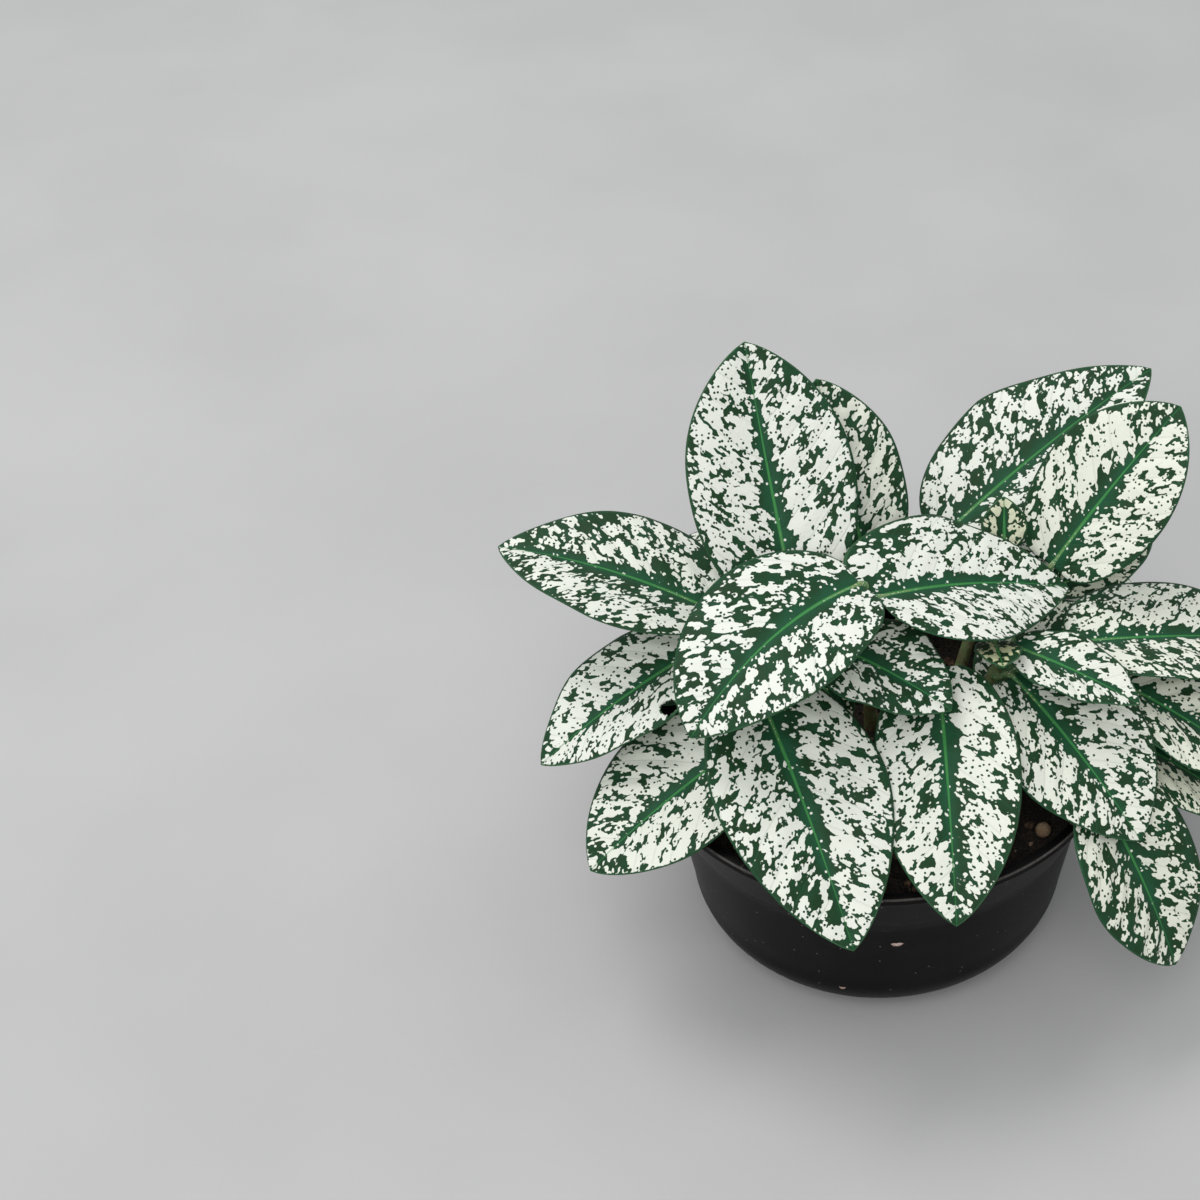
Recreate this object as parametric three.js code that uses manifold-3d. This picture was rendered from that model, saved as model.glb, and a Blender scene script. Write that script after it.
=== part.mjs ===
// A potted polka dot plant: a thin plastic nursery pot, its soil, branching stems and their leaves.
// Millimetres, +Z up. The origin is the centre of the pot's flat foot; -Y is the plant's front.
import * as THREE from 'three';
import Module from 'manifold-3d';
import { mergeVertices } from 'three/addons/utils/BufferGeometryUtils.js';

const wasm = await Module();
wasm.setup();

// Pot
const POT_HEIGHT = 59;
const RIM_RADIUS = 60;
const RIM_HEIGHT = 2;
const RIM_OVERHANG = 1.4;
const RIM_EDGE = 0.4;
const LEDGE_BELOW_RIM = 16;
const LEDGE_HEIGHT = POT_HEIGHT - LEDGE_BELOW_RIM;
const LEDGE_RADIUS = 54;
const LEDGE_STEP = 0.8;
const WALL_FOOT_RADIUS = 49;
const FOOT_ROUND_HEIGHT = 16;
const FLAT_FOOT_RADIUS = 29;
const WALL_THICKNESS = 1.4;
const POT_SEGMENTS = 48;
const FOOT_STEPS = 5;
const DRAIN_HOLES = 5;
const DRAIN_RADIUS = 3.5;
const DRAIN_CIRCLE = 19;
const DRAIN_SIDES = 16;

// Soil
const GAP = 0.3;
const SOCKET_GAP = 0.5;
const SOCKET_SIDES = 12;
const SOIL_GAP = 0.4;
const SOIL_EDGE_HEIGHT = 49;
const SOIL_CROWN = 3;
const SOIL_CROWN_RADIUS = 25;

// Stems
const STEM_RADIUS = 1.7;
const STEM_ROOT_DEPTH = 10;
const STEM_SIDES = 5;
const STEM_STEPS = 8;

// The round clay pebble that lies on the soil
const PEBBLE_RADIUS = 1.9;
const PEBBLE_PLACE = [40, -30];

// Leaves
const BLADE_THICKNESS = 0.7;
const PETIOLE_RADIUS = 0.9;
const TIP_HALF_WIDTH = 0.5;
const TIP_ROUNDNESS = 0.8;
const WIDEST_AT = 0.44;
const BASE_ROUNDNESS = 0.52;
const FOLD = 0.16;
const LENS_SHOULDER = 0.55;
const BLADE_STATIONS = [0, 0.05, 0.14, 0.28, 0.45, 0.6, 0.74, 0.86, 0.95, 1];
const PETIOLE_STATIONS = [0, 0.35, 0.7];

const POT_BLACK = 0x1b1b1d;
const SOIL_BROWN = 0x2a1e17;
const PEBBLE_TAN = 0xa89678;
const STEM_GREEN = 0x6d8a4a;
const LEAF_GREEN = 0x9db8a0;
const YOUNG_GREEN = 0xb4bf8c;

const toRad = THREE.MathUtils.degToRad;
const point = (x, y, z) => new THREE.Vector3(x, y, z);

// Each stem leaves the soil at root [x, y] and ends at its top node [x, y, z].
const STEMS = {
  centre: { root: [-2, 7], top: [-4, 5, 99] },
  left: { root: [-13, 0], top: [-19, -2, 90] },
  back_left: { root: [-14, 18], top: [-24, 28, 86] },
  back: { root: [4, 20], top: [8, 34, 88] },
  back_right: { root: [20, 18], top: [29, 34, 84] },
  right: { root: [18, -2], top: [31, 4, 82] },
  front: { root: [4, -14], top: [10, -4, 84] },
};

// One row for each leaf: its stem and the height of its node there, then the place of the blade's
// base, the blade's heading from +X, its rise, length and width, how far it droops from base to tip,
// its roll about the midrib, its sweep to the left and how full it stays towards the tip. Angles are
// in degrees.
const LEAVES = {
  leaf_crown_left: ['centre', 97, [-5, -2, 107], -134, -13, 59, 40, 45, -8, 12, 2.0],
  leaf_crown_right: ['centre', 95, [-1, -2.5, 103.3], 27, -18, 58.5, 42, 12, 14, -14, 1.3],
  leaf_crown_front: ['centre', 89, [-14, -7, 93], -30, -10, 36, 31, 20, 0, 0, 1.8],
  leaf_crown_back: ['centre', 88, [-3, 23, 91], 119, 58, 50, 31, 10, 0, 0, 2.2],
  leaf_left_upright: ['left', 88, [-21.2, 4, 97], 107.5, 52, 64, 42, -10, 0, 0, 2.3],
  leaf_left_outer: ['left', 82, [-41, 10, 88], 165, 9, 58, 42, 25, 0, 0, 1.6],
  leaf_left_low: ['left', 76, [-44, 6, 80], -152, -24, 50, 34, 20, 0, 0, 1.7],
  leaf_left_lowest: ['left', 66, [-30, -13, 68], -146, -22, 53, 41, 20, 0, 0, 2.1],
  leaf_left_inner: ['left', 72, [-15, -5, 78], -50, -30, 13, 12, 15, 0, 0, 1.7],
  leaf_front_left: ['left', 84, [-30, -16, 86], -68, -25, 69, 42, 25, 0, 0, 1.8],
  leaf_front: ['front', 79, [14, -7, 85], -87, -25, 66, 35, 25, 0, 0, 2.1],
  leaf_back_right_outer: ['back_right', 80, [16.5, 47, 82], 31, 25, 73, 44, 15, 12, 0, 1.4],
  leaf_back_right_inner: ['back_right', 80, [44.5, 31, 86], 29, 46, 52, 37, 10, 20, 0, 2.3],
  leaf_back_right_young: ['back_right', 81, [32, 31.5, 91.5], 91, 57, 13, 12, 5, 0, 0, 1.7],
  leaf_right_back: ['right', 74, [47, 35, 75], 28, 12, 30, 20, 20, 10, 0, 1.7],
  leaf_right_outer: ['right', 74, [48, 9, 79], 12, -9, 60, 39, 10, 0, 0, 1.7],
  leaf_right_low: ['right', 68, [57, 5, 71], -22, -24, 50, 34, 20, 0, 0, 1.7],
  leaf_right_lowest: ['right', 62, [53, -3, 63], -18, -25, 48, 34, 20, 0, 0, 1.7],
  leaf_right_small: ['right', 77, [32.5, -0.5, 86], -28, -8, 34.5, 22, 15, 0, 0, 1.7],
  leaf_right_young: ['right', 79, [28, -1.5, 88], -85, 16, 14, 12, 10, 0, 0, 1.7],
  leaf_right_front: ['right', 74, [32.7, -4, 79], -49, -26, 51, 42, 20, 0, 0, 1.8],
  leaf_right_hanging: ['right', 58, [52, -29, 64.5], -47, -52, 49, 36, 20, 0, 0, 1.9],
  leaf_back_left_high: ['back_left', 83, [-25, 37, 87], 114, 6, 44, 31, 40, 0, 0, 1.7],
  leaf_back_left_side: ['back_left', 78, [-38, 28, 80], 176, -24, 33, 26, 30, 0, 0, 1.7],
  leaf_back_left_low: ['back_left', 68, [-38, 42, 70], 142, -25, 48, 36, 40, 0, 0, 1.7],
  leaf_back_high: ['back', 84, [-8, 44, 87], 102, -4, 42, 30, 40, 0, 0, 1.7],
  leaf_back_low: ['back', 70, [10, 48, 68], 88, -30, 52, 38, 40, 0, 0, 1.7],
  leaf_back_middle: ['back', 80, [-4, 46, 80], 118, -18, 50, 36, 40, 0, 0, 1.7],
  leaf_back_side: ['back', 78, [22, 48, 75], 56, -20, 48, 34, 40, 0, 0, 1.7],
  leaf_back_left_inner: ['back_left', 83, [-18, 33, 90], 70, 34, 28, 20, 30, 0, 0, 1.7],
  leaf_back_left_young: ['back_left', 84, [-28, 31, 90], 160, 40, 14, 11, 10, 0, 0, 1.7],
  leaf_back_young: ['back', 86, [0, 38, 91], 118, 45, 14, 11, 10, 0, 0, 1.7],
  leaf_left_back_low: ['left', 61, [-34, 13, 65], 176, -12, 36, 28, 30, 0, 0, 1.7],
  leaf_right_inner: ['right', 62, [29, 9, 63], 66, 4, 22, 16, 20, 0, 0, 1.7],
  leaf_back_right_low: ['back_right', 70, [42, 36, 69], 34, -26, 50, 36, 40, 0, 0, 1.7],
  leaf_right_middle: ['right', 72, [38, 13, 72], 35, 4, 26, 22, 15, 0, 0, 1.7],
};

function addMaterial(colour, roughness) {
  return new THREE.MeshStandardMaterial({ color: colour, roughness, metalness: 0 });
}

function named(name, geometry, material) {
  const mesh = new THREE.Mesh(geometry, material);
  mesh.name = name;
  return mesh;
}

// Turns a closed geometry into a solid that can be joined or cut.
function toSolid(geometry) {
  const plain = geometry.clone();
  plain.deleteAttribute('normal');
  plain.deleteAttribute('uv');
  const merged = mergeVertices(plain, 1e-4);
  const mesh = new wasm.Mesh({
    numProp: 3,
    vertProperties: new Float32Array(merged.attributes.position.array),
    triVerts: new Uint32Array(merged.index.array),
  });
  return new wasm.Manifold(mesh);
}

function toGeometry(solid) {
  const mesh = solid.getMesh();
  const geometry = new THREE.BufferGeometry();
  geometry.setAttribute('position', new THREE.BufferAttribute(mesh.vertProperties, 3));
  geometry.setIndex(new THREE.BufferAttribute(mesh.triVerts, 1));
  return geometry;
}

// LatheGeometry turns about Y, so the result is stood up on Z.
function latheAboutZ(profile, segments) {
  const points = profile.map(([radius, height]) => new THREE.Vector2(radius, height));
  return new THREE.LatheGeometry(points, segments).rotateX(Math.PI / 2);
}

// The rounded foot, from the flat base up to the wall, moved inwards by `inset`.
function footArc(inset, steps) {
  const arc = [];
  for (let step = 0; step <= steps; step += 1) {
    const angle = (step / steps) * (Math.PI / 2);
    const reach = WALL_FOOT_RADIUS - FLAT_FOOT_RADIUS;
    const radius = FLAT_FOOT_RADIUS + reach * Math.sin(angle);
    const height = FOOT_ROUND_HEIGHT * (1 - Math.cos(angle));
    const normal = new THREE.Vector2(FOOT_ROUND_HEIGHT * Math.sin(angle), -reach * Math.cos(angle)).normalize();
    arc.push([radius - normal.x * inset, height - normal.y * inset]);
  }
  return arc;
}

// The inner radius of the pot's wall at a height above the rounded foot.
function innerRadius(height) {
  if (height < LEDGE_HEIGHT) {
    const share = (height - FOOT_ROUND_HEIGHT) / (LEDGE_HEIGHT - FOOT_ROUND_HEIGHT);
    const outer = THREE.MathUtils.lerp(WALL_FOOT_RADIUS, LEDGE_RADIUS - LEDGE_STEP, share);
    return outer - WALL_THICKNESS;
  }
  const share = (height - LEDGE_HEIGHT) / LEDGE_BELOW_RIM;
  return THREE.MathUtils.lerp(LEDGE_RADIUS, RIM_RADIUS - RIM_OVERHANG, share) - WALL_THICKNESS;
}

function buildPot() {
  const rimFoot = POT_HEIGHT - RIM_HEIGHT;
  const outside = [
    [0, 0],
    ...footArc(0, FOOT_STEPS),
    [LEDGE_RADIUS - LEDGE_STEP, LEDGE_HEIGHT],
    [LEDGE_RADIUS, LEDGE_HEIGHT + LEDGE_STEP],
    [RIM_RADIUS - RIM_OVERHANG, rimFoot],
    [RIM_RADIUS, rimFoot + RIM_EDGE],
    [RIM_RADIUS, POT_HEIGHT - RIM_EDGE],
    [RIM_RADIUS - RIM_EDGE, POT_HEIGHT],
  ];
  const inside = [
    [innerRadius(POT_HEIGHT), POT_HEIGHT],
    [innerRadius(LEDGE_HEIGHT), LEDGE_HEIGHT],
    ...footArc(WALL_THICKNESS, FOOT_STEPS).reverse(),
    [0, WALL_THICKNESS],
  ];
  let pot = toSolid(latheAboutZ([...outside, ...inside], POT_SEGMENTS));
  for (let hole = 0; hole < DRAIN_HOLES; hole += 1) {
    const angle = (hole / DRAIN_HOLES) * Math.PI * 2;
    const drill = new THREE.CylinderGeometry(DRAIN_RADIUS, DRAIN_RADIUS, WALL_THICKNESS * 3, DRAIN_SIDES)
      .rotateX(Math.PI / 2)
      .translate(DRAIN_CIRCLE * Math.cos(angle), DRAIN_CIRCLE * Math.sin(angle), 0);
    pot = pot.subtract(toSolid(drill));
  }
  return toGeometry(pot);
}

// A stem's middle line: straight up through the soil, then bending over to its top node.
function stemCurve({ root, top }) {
  const foot = point(root[0], root[1], SOIL_EDGE_HEIGHT - STEM_ROOT_DEPTH);
  const surface = point(root[0], root[1], SOIL_EDGE_HEIGHT + SOIL_CROWN);
  const crown = point(...top);
  const third = (crown.z - surface.z) / 3;
  const path = new THREE.CurvePath();
  path.add(new THREE.LineCurve3(foot, surface));
  path.add(new THREE.CubicBezierCurve3(surface, surface.clone().setZ(surface.z + third),
    crown.clone().setZ(crown.z - third), crown));
  return path;
}

function tube(curve, radius, steps, sides) {
  const section = new THREE.Shape();
  section.absarc(0, 0, radius, 0, Math.PI * 2, false);
  return new THREE.ExtrudeGeometry(section, {
    extrudePath: curve,
    steps,
    curveSegments: sides,
    bevelEnabled: false,
  });
}

function buildSoil() {
  const clear = WALL_THICKNESS + SOIL_GAP;
  const profile = [
    [0, clear],
    ...footArc(clear, FOOT_STEPS),
    [innerRadius(LEDGE_HEIGHT) - SOIL_GAP, LEDGE_HEIGHT],
    [innerRadius(SOIL_EDGE_HEIGHT) - SOIL_GAP, SOIL_EDGE_HEIGHT],
    [SOIL_CROWN_RADIUS, SOIL_EDGE_HEIGHT + SOIL_CROWN],
    [0, SOIL_EDGE_HEIGHT + SOIL_CROWN],
  ];
  let soil = toSolid(latheAboutZ(profile, POT_SEGMENTS));
  for (const { root } of Object.values(STEMS)) {
    const depth = STEM_ROOT_DEPTH + SOIL_CROWN + GAP;
    const radius = STEM_RADIUS + SOCKET_GAP;
    const socket = new THREE.CylinderGeometry(radius, radius, depth * 2, SOCKET_SIDES)
      .rotateX(Math.PI / 2)
      .translate(root[0], root[1], SOIL_EDGE_HEIGHT + SOIL_CROWN);
    soil = soil.subtract(toSolid(socket));
  }
  return toGeometry(soil);
}

// The soil's surface falls evenly from the edge of its crown to the pot's wall.
function soilHeight(x, y) {
  const edge = innerRadius(SOIL_EDGE_HEIGHT) - SOIL_GAP;
  const share = THREE.MathUtils.clamp((edge - Math.hypot(x, y)) / (edge - SOIL_CROWN_RADIUS), 0, 1);
  return SOIL_EDGE_HEIGHT + SOIL_CROWN * share;
}

function buildPebble() {
  const [x, y] = PEBBLE_PLACE;
  return new THREE.SphereGeometry(PEBBLE_RADIUS, 12, 8)
    .translate(x, y, soilHeight(x, y) + GAP + PEBBLE_RADIUS);
}

// The blade's width at a share of its length: a round base, widest at WIDEST_AT, and a tip that is
// a little rounded and fuller the higher `fullness` is.
function bladeShape(share, fullness) {
  if (share > WIDEST_AT) {
    return Math.pow(1 - Math.pow((share - WIDEST_AT) / (1 - WIDEST_AT), fullness), TIP_ROUNDNESS);
  }
  const power = Math.log(0.5) / Math.log(WIDEST_AT);
  return Math.pow(Math.sin(Math.PI * Math.pow(share, power)), BASE_ROUNDNESS);
}

// The middle line, side and normal of a blade. It turns evenly from base to tip: down by `droop`
// and to the left by `sweep`.
function bladeFrames(base, heading, rise, length, droop, roll, sweep, shares) {
  const frames = [];
  const steps = 40;
  const here = base.clone();
  let next = 0;
  for (let step = 0; step <= steps; step += 1) {
    const share = step / steps;
    const climb = toRad(rise + droop * (0.5 - share));
    const turn = toRad(heading - sweep * (0.5 - share));
    const forward = point(Math.cos(turn), Math.sin(turn), 0);
    const side = point(-forward.y, forward.x, 0);
    const along = forward.clone().multiplyScalar(Math.cos(climb)).setZ(Math.sin(climb));
    while (next < shares.length && shares[next] <= share + 1e-9) {
      const across = side.clone().applyAxisAngle(along, toRad(roll));
      const excess = (share - shares[next]) * length;
      const centre = here.clone().addScaledVector(along, -excess);
      frames.push({ centre, along, across, normal: along.clone().cross(across) });
      next += 1;
    }
    here.addScaledVector(along, length / steps);
  }
  return frames;
}

// One section of a leaf: eight points round a lens that is folded up at the midrib.
function section({ centre, across, normal }, half, thick, fold) {
  const place = (v, lift) => centre.clone()
    .addScaledVector(across, v * half)
    .addScaledVector(normal, lift + fold * half * Math.abs(v));
  return [
    place(1, 0), place(LENS_SHOULDER, thick), place(0, thick), place(-LENS_SHOULDER, thick),
    place(-1, 0), place(-LENS_SHOULDER, -thick), place(0, -thick), place(LENS_SHOULDER, -thick),
  ];
}

function loft(sections) {
  const ring = sections[0].length;
  const positions = sections.flat().flatMap((place) => place.toArray());
  const faces = [];
  for (let row = 0; row + 1 < sections.length; row += 1) {
    for (let step = 0; step < ring; step += 1) {
      const a = row * ring + step;
      const b = row * ring + ((step + 1) % ring);
      faces.push(a, b, b + ring, a, b + ring, a + ring);
    }
  }
  const last = (sections.length - 1) * ring;
  for (let step = 1; step + 1 < ring; step += 1) {
    faces.push(0, step + 1, step, last, last + step, last + step + 1);
  }
  const geometry = new THREE.BufferGeometry();
  geometry.setAttribute('position', new THREE.Float32BufferAttribute(positions, 3));
  geometry.setIndex(faces);
  return geometry;
}

function buildLeaf([stemName, node, base, heading, rise, length, width, droop, roll, sweep, fullness]) {
  const foot = point(...base);
  const blade = bladeFrames(foot, heading, rise, length, droop, roll, sweep, BLADE_STATIONS);
  const stem = stemCurve(STEMS[stemName]);
  const share = shareAtHeight(stem, node);
  const nodePoint = stem.getPoint(share);
  const axis = stem.getTangent(share);
  const reach = foot.clone().sub(nodePoint);
  const outward = reach.addScaledVector(axis, -reach.dot(axis)).normalize();
  const start = nodePoint.clone().addScaledVector(outward, STEM_RADIUS + GAP);
  const pull = foot.distanceTo(start) / 3;
  const petiole = new THREE.CubicBezierCurve3(start, start.clone().addScaledVector(outward, pull),
    foot.clone().addScaledVector(blade[0].along, -pull), foot);
  const sections = PETIOLE_STATIONS.map((station) => {
    const along = petiole.getTangent(station);
    const across = blade[0].across.clone().addScaledVector(along, -along.dot(blade[0].across)).normalize();
    const frame = { centre: petiole.getPoint(station), across, normal: along.clone().cross(across) };
    return section(frame, PETIOLE_RADIUS, PETIOLE_RADIUS * 0.8, 0);
  });
  blade.forEach((frame, index) => {
    const station = BLADE_STATIONS[index];
    const shape = (width / 2) * bladeShape(station, fullness);
    const floor = station < WIDEST_AT ? PETIOLE_RADIUS : TIP_HALF_WIDTH;
    sections.push(section(frame, Math.max(shape, floor), BLADE_THICKNESS / 2, FOLD));
  });
  return loft(sections);
}

// How far along a stem a height lies, found by halving.
function shareAtHeight(curve, height) {
  let low = 0;
  let high = 1;
  for (let step = 0; step < 24; step += 1) {
    const middle = (low + high) / 2;
    if (curve.getPoint(middle).z < height) {
      low = middle;
    } else {
      high = middle;
    }
  }
  return low;
}

const plant = new THREE.Group();
plant.add(named('pot', buildPot(), addMaterial(POT_BLACK, 0.45)));
plant.add(named('soil', buildSoil(), addMaterial(SOIL_BROWN, 0.95)));
plant.add(named('soil_pebble', buildPebble(), addMaterial(PEBBLE_TAN, 0.8)));
for (const [name, stem] of Object.entries(STEMS)) {
  const geometry = tube(stemCurve(stem), STEM_RADIUS, STEM_STEPS, STEM_SIDES);
  plant.add(named(`${name}_stem`, geometry, addMaterial(STEM_GREEN, 0.6)));
}
for (const [name, row] of Object.entries(LEAVES)) {
  const young = name.endsWith('_young');
  plant.add(named(name, buildLeaf(row), addMaterial(young ? YOUNG_GREEN : LEAF_GREEN, 0.45)));
}

export default plant;
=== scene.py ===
"""A potted polka dot plant: a low black nursery pot, its soil, branching stems and white and green leaves.

The drawing values are in millimetres, in the frame's own axes: +Z up, -Y towards the plant's front.
The leaf and stem rows are those of the solid model, so that every fine piece lies where its solid does.
"""

import math
import random
from collections import namedtuple

import bmesh
import bpy
import numpy as np
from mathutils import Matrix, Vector, noise


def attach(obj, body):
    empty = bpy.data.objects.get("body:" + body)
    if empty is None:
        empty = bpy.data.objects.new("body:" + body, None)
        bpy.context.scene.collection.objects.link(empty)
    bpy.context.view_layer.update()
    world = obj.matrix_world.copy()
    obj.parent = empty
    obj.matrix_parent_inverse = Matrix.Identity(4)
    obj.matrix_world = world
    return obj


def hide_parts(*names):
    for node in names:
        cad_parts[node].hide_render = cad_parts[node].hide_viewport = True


MM = 0.001

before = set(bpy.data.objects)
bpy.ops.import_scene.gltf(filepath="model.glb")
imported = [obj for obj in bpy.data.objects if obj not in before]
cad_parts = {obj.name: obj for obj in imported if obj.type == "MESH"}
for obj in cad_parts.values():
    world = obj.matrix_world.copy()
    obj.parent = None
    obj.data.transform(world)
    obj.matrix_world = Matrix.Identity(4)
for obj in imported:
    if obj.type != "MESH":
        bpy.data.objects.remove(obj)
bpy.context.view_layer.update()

# Camera: 40 degrees down at the pot, with the plant right of the middle
CAMERA_PLACE = (-9.6, -407.6, 442.4)
CAMERA_DOWN = 40.0
SENSOR_WIDTH = 36.0
FOCAL_LENGTH = 66.0
PHOTO_SIZE = 1200
PLANT_AXIS_PIXEL = 841.2

# Studio, in metres: each light's place, width and power in watts
FLOOR_REACH = 4.0
LIGHT_TARGET = (0, 0, 0.05)
LIGHTS = {
    "key": ((-0.55, 0.30, 1.30), 0.75, 6.6),
    "fill": ((-0.15, -0.9, 1.1), 0.9, 5.6),
}
SKY_COLOUR = (0.96, 0.98, 1.0, 1.0)
SKY_STRENGTH = 0.67

# Pot
POT_HEIGHT = 59.0
RIM_RADIUS = 60.0
RIM_HEIGHT = 2.0
RIM_OVERHANG = 1.4
LEDGE_BELOW_RIM = 16.0
LEDGE_HEIGHT = POT_HEIGHT - LEDGE_BELOW_RIM
LEDGE_RADIUS = 54.0
LEDGE_STEP = 0.8
LEDGE_ROUND = 0.7
LIP_ROUND = 0.5
WALL_FOOT_RADIUS = 49.0
FOOT_ROUND_HEIGHT = 16.0
FLAT_FOOT_RADIUS = 29.0
WALL_THICKNESS = 1.4
POT_SEGMENTS = 160
FOOT_STEPS = 16
SHARP_ANGLE = 40.0
DRAIN_HOLES = 5
DRAIN_RADIUS = 3.5
DRAIN_CIRCLE = 19.0
DRILL_SPAN = (-3, 4)
DRILL_SEGMENTS = 32

# Each fleck on the pot's front: its angle round the pot, height, length and width
FLECKS = ((-85.6, 34.6, 3.1, 1.7), (-101.0, 13.8, 1.6, 1.0))

# Soil
SOIL_GAP = 0.4
SOIL_EDGE_HEIGHT = 49.0
SOIL_CROWN = 3.0
SOIL_CROWN_RADIUS = 25.0
SOIL_SIDES = 260
SOIL_RINGS = 84
PEBBLE_RADIUS = 1.9
PEBBLE_PLACE = (40.0, -30.0)
PEBBLE_PORE = (-0.1, -0.62, 0.78)

# The height and fineness of each layer of the soil's roughness, and how far they all sink
SOIL_NOISE = ((0.8, 0.16), (0.55, 0.45), (0.35, 1.3))
SOIL_SINK = 0.3

# Loose bits: their number, shortest and longest, flattest and tallest, and the seed of their places
BITS = {
    "soil_crumbs": (620, (0.9, 2.6), (0.5, 0.8), 11),
    "soil_bark_bits": (210, (1.2, 3.8), (0.2, 0.45), 23),
    "soil_pale_grains": (90, (0.5, 1.4), (0.6, 0.9), 37),
}
BITS_EDGE_SHARE = 0.98
BITS_CLEARANCE = 1.6

# Stems
STEM_RADIUS = 1.7
STEM_ROOT_DEPTH = 10.0
STEM_TAPER = 0.22
STEM_RINGS = 48
STEM_ROOT_RINGS = 4
STEM_SIDES = 16
STEM_RIPPLE = 0.05
STEM_GREEN_FROM = 88.0
NODE_SWELL = 0.20
NODE_REACH = 0.022
HALVINGS = 24

# Leaves
BLADE_THICKNESS = 0.42
PETIOLE_RADIUS = 0.8
TIP_HALF_WIDTH = 0.12
WIDEST_AT = 0.44
TIP_ROUNDNESS = 0.8
BASE_ROUNDNESS = 0.52
FOLD = 0.16
VEIN_PAIRS = 7.5
VEIN_LEAN = 0.75
VEIN_CURVE = 0.012
PATTERN_LEAN = 0.50
BLADE_STEPS = 60
BLADE_ROWS = 72
BLADE_COLUMNS = 18
LOBE_SPAN = 0.42
GROOVE_DEPTH = 0.18
GROOVE_REACH = 0.7
PETIOLE_SIDES = 10
PETIOLE_RINGS = 14
MIDRIB_RINGS = 24
MIDRIB_REACH = 0.9
HOLE_BLEND = 1.2
SEED_STEP = 97.0

# The texture layout of a leaf: the blade's top, its underside and the petiole, each in its strip
STRIP_START = 0.01
STRIP_LENGTH = 0.98
TOP_STRIP = 0.01
UNDER_STRIP = 0.46
BLADE_STRIP_WIDTH = 0.43
PETIOLE_STRIP = 0.91
PETIOLE_STRIP_WIDTH = 0.08

# A hole eaten into a blade: how far along and across it lies, and its radius
HOLES = {"leaf_left_low": (16.0, 13.2, 1.9)}

# A left base lobe that reaches further back than usual
DEEP_LOBES = {"leaf_crown_right": 0.85}

# Each stem leaves the soil at root (x, y) and ends at its top node (x, y, z).
STEMS = {
    "centre": ((-2, 7), (-4, 5, 99)),
    "left": ((-13, 0), (-19, -2, 90)),
    "back_left": ((-14, 18), (-24, 28, 86)),
    "back": ((4, 20), (8, 34, 88)),
    "back_right": ((20, 18), (29, 34, 84)),
    "right": ((18, -2), (31, 4, 82)),
    "front": ((4, -14), (10, -4, 84)),
}

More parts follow.
